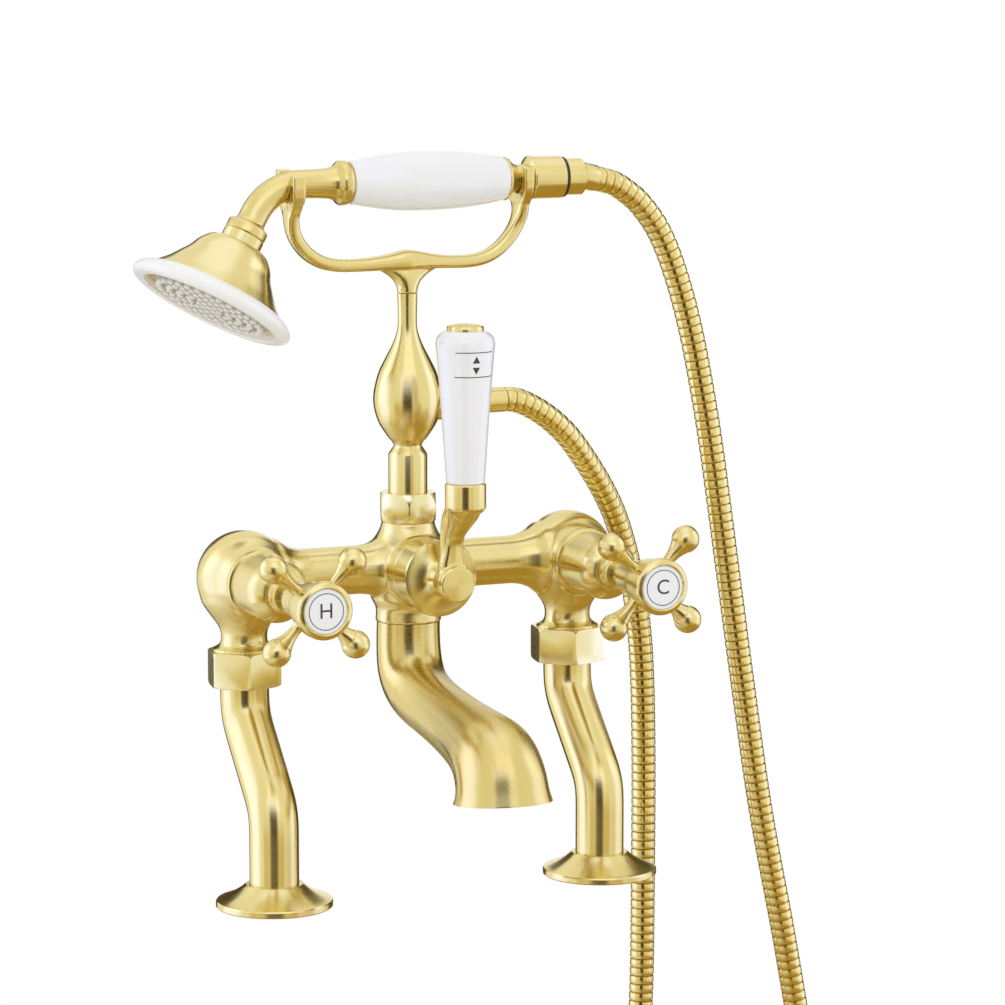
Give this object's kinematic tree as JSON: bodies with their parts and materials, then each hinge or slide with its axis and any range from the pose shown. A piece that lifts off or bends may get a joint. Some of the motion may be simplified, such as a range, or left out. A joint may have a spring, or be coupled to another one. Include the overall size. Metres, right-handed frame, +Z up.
{
  "type": "bath shower mixer",
  "caption": "Deck-mounted brass bath shower mixer with cranked legs, cross handles, a lever diverter, a swan-neck spout and a ceramic-grip handset that lifts off its cradle.",
  "frame": {"origin": "on the deck, midway between the two inlet holes", "axes": "+Z up from the deck, -Y to the front where the handles and the spout are, +X to the cold side"},
  "size_m": [0.4023, 0.1822, 0.7487],
  "materials": {
    "satin_brass": "satin brushed brass",
    "white_ceramic": "white glaze",
    "white_plastic": "white moulding",
    "black_rubber": "matt black",
    "steel": "machined"
  },
  "bodies": {
    "mixer": {"hot_flange": "satin_brass", "cold_flange": "satin_brass", "hot_leg": "satin_brass", "cold_leg": "satin_brass", "hot_union_nut": "satin_brass", "cold_union_nut": "satin_brass", "leg_washers": "black_rubber", "mixer_body": "satin_brass", "hot_bonnet": "satin_brass", "cold_bonnet": "satin_brass", "hot_cartridge": "steel", "cold_cartridge": "steel", "diverter_bonnet": "satin_brass", "diverter_cartridge": "steel", "spout": "satin_brass", "spout_nipple": "satin_brass", "flow_straightener": "white_plastic", "riser_nut": "satin_brass", "riser": "satin_brass", "cradle": "satin_brass", "hose_nut": "satin_brass", "hose_sleeve": "satin_brass", "shower_hose": "satin_brass"},
    "hot_handle": {"hot_spindle": "satin_brass", "hot_cross": "satin_brass", "hot_index_ring": "satin_brass", "hot_index": "white_ceramic", "hot_screw": "steel"},
    "cold_handle": {"cold_spindle": "satin_brass", "cold_cross": "satin_brass", "cold_index_ring": "satin_brass", "cold_index": "white_ceramic", "cold_screw": "steel"},
    "diverter_lever": {"diverter_spindle": "satin_brass", "lever_arm": "satin_brass", "lever_cap": "satin_brass", "lever_grip": "white_ceramic", "lever_rod": "satin_brass", "lever_button": "satin_brass"},
    "handset": {"rose_bell": "satin_brass", "rose_rim": "white_plastic", "spray_plate": "satin_brass", "spray_nozzles": "white_plastic", "handset_neck": "satin_brass", "handset_grip": "white_ceramic", "handset_tube": "satin_brass", "rear_collar": "satin_brass", "handset_connector": "satin_brass", "swivel_ring": "black_rubber", "hose_collar": "satin_brass"}
  },
  "joints": [
    {"name": "hot_turn", "type": "hinge", "parent": "mixer", "child": "hot_handle", "pos_m": [-0.09, 0.041, 0.161], "axis": [0, -1, 0], "range_deg": [0, 90]},
    {"name": "cold_turn", "type": "hinge", "parent": "mixer", "child": "cold_handle", "pos_m": [0.09, 0.041, 0.161], "axis": [0, 1, 0], "range_deg": [0, 90]},
    {"name": "diverter_turn", "type": "hinge", "parent": "mixer", "child": "diverter_lever", "pos_m": [0, 0.041, 0.161], "axis": [0, 1, 0], "range_deg": [-45, 45]},
    {"name": "handset_lift", "type": "slide", "parent": "mixer", "child": "handset", "axis": [0, 0, 1], "range_m": [0, 0.05]}
  ]
}
